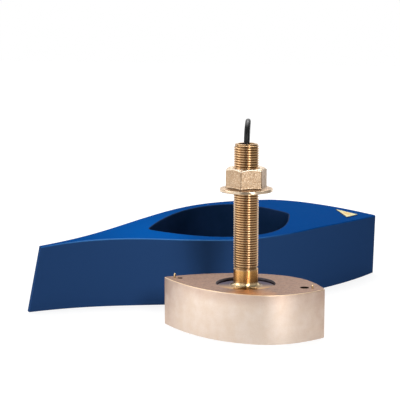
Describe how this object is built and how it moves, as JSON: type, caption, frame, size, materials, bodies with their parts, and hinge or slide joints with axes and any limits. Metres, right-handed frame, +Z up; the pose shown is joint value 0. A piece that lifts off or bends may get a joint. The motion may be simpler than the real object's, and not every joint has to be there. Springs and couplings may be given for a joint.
{
  "type": "through-hull sonar transducer",
  "caption": "Bronze teardrop-shaped through-hull sounder with a threaded hollow stem, flanged hull nut and coiled cable, beside its streamlined blue fairing block.",
  "frame": {"origin": "centre of the stem's axis on the acoustic face, which stands on the floor", "axes": "+Z up the stem, +X along the housing from its fine tail towards its full nose"},
  "size_m": [0.3323, 0.4487, 0.2166],
  "materials": {
    "blasted_bronze": "cast bronze, blasted to an even matt pinkish beige, with the recess and stem machined bright",
    "nut_bronze": "cast bronze nut, blasted matt",
    "pin_brass": "drawn brass, turned bright",
    "window_resin": "filled epoxy window, matt",
    "potting_urethane": "soft potting, matt",
    "circuit_board": "laminate board under a clear coat",
    "cable_jacket": "smooth black polyurethane jacket",
    "boot_rubber": "moulded rubber, matt",
    "plug_nickel": "satin nickel plate on brass",
    "insert_plastic": "moulded plastic",
    "blue_urethane": "cast blue urethane, semi-gloss",
    "yellow_label": "thin vinyl label, matt",
    "ceramic": "fired piezoelectric ceramic, matt",
    "cork": "pressed cork, matt"
  },
  "bodies": {
    "root": {"acoustic_window": "window_resin", "array_1_element": "ceramic", "array_1_isolation_cup": "cork", "array_2_element": "ceramic", "array_2_isolation_cup": "cork", "array_3_element": "ceramic", "array_3_isolation_cup": "cork", "array_4_element": "ceramic", "array_4_isolation_cup": "cork", "array_5_element": "ceramic", "array_5_isolation_cup": "cork", "array_6_element": "ceramic", "array_6_isolation_cup": "cork", "bow_label": "yellow_label", "cable": "cable_jacket", "cable_coil": "cable_jacket", "cable_tail": "cable_jacket", "fairing_block": "blue_urethane", "housing": "blasted_bronze", "hull_nut": "nut_bronze", "main_element": "ceramic", "main_isolation_cup": "cork", "nose_pin": "pin_brass", "plug_body": "plug_nickel", "plug_boot": "boot_rubber", "plug_collar": "plug_nickel", "plug_insert": "insert_plastic", "potting": "potting_urethane", "stem_lead": "cable_jacket", "stem_seal": "cable_jacket", "tail_pin": "pin_brass", "temperature_sensor": "pin_brass", "terminal_board": "circuit_board"}
  },
  "joints": []
}
